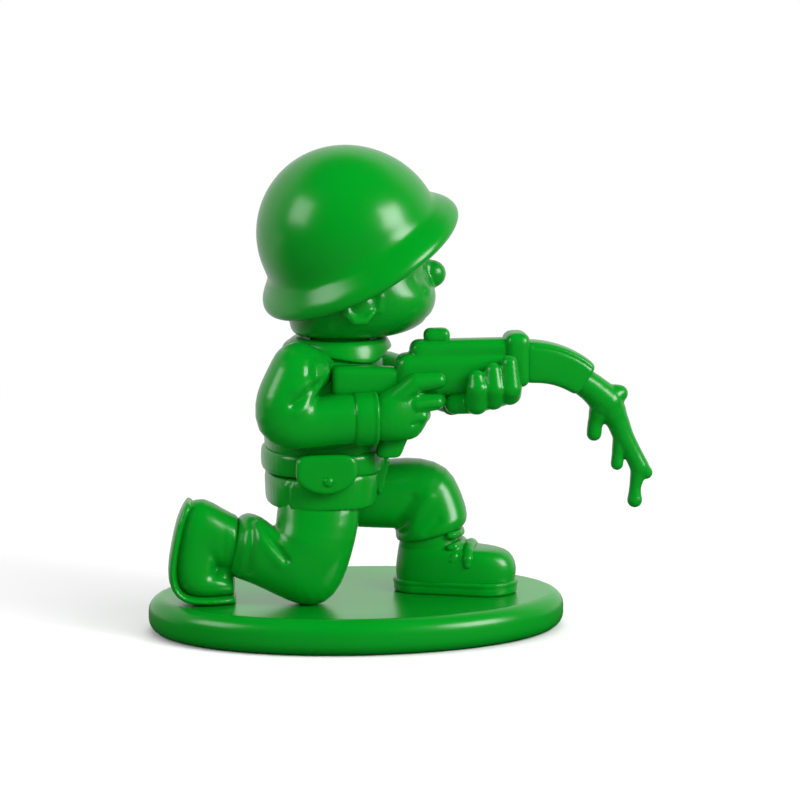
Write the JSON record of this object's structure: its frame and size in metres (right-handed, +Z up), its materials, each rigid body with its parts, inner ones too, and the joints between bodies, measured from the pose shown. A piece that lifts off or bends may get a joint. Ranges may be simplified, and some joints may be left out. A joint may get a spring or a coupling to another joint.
{
  "type": "toy soldier figure",
  "caption": "Kneeling toy soldier in glossy green plastic on an oval base, aiming a rifle whose barrel droops and melts; the helmeted head turns on its neck",
  "frame": {"origin": "middle of the base's underside", "axes": "X is the way the soldier faces, Y is to the soldier's left, Z is up"},
  "size_m": [0.1241, 0.072, 0.1216],
  "materials": {
    "green_plastic": "glossy moulded plastic, one colour all over"
  },
  "bodies": {
    "figure": {"base_plate": "green_plastic", "right_leg": "green_plastic", "right_boot": "green_plastic", "right_boot_sole": "green_plastic", "left_leg": "green_plastic", "left_boot": "green_plastic", "left_boot_sole": "green_plastic", "left_boot_laces": "green_plastic", "jacket_skirt": "green_plastic", "jacket_flap": "green_plastic", "belt": "green_plastic", "waist_post": "green_plastic", "jacket": "green_plastic", "pouch": "green_plastic", "pouch_flap": "green_plastic", "pouch_snap": "green_plastic", "collar": "green_plastic", "right_sleeve": "green_plastic", "right_cuff": "green_plastic", "right_hand": "green_plastic", "left_sleeve": "green_plastic", "left_cuff": "green_plastic", "left_hand": "green_plastic", "rifle_stock": "green_plastic", "pistol_grip": "green_plastic", "rifle_receiver": "green_plastic", "rear_sight": "green_plastic", "front_band": "green_plastic", "drooping_barrel": "green_plastic", "melted_muzzle": "green_plastic"},
    "head_turn": {"neck": "green_plastic", "head": "green_plastic", "helmet": "green_plastic"}
  },
  "joints": [
    {"name": "neck_swivel", "type": "hinge", "parent": "figure", "child": "head_turn", "pos_m": [-0.0045, -0.003, 0.0705], "axis": [0, 0, 1], "continuous": true}
  ]
}
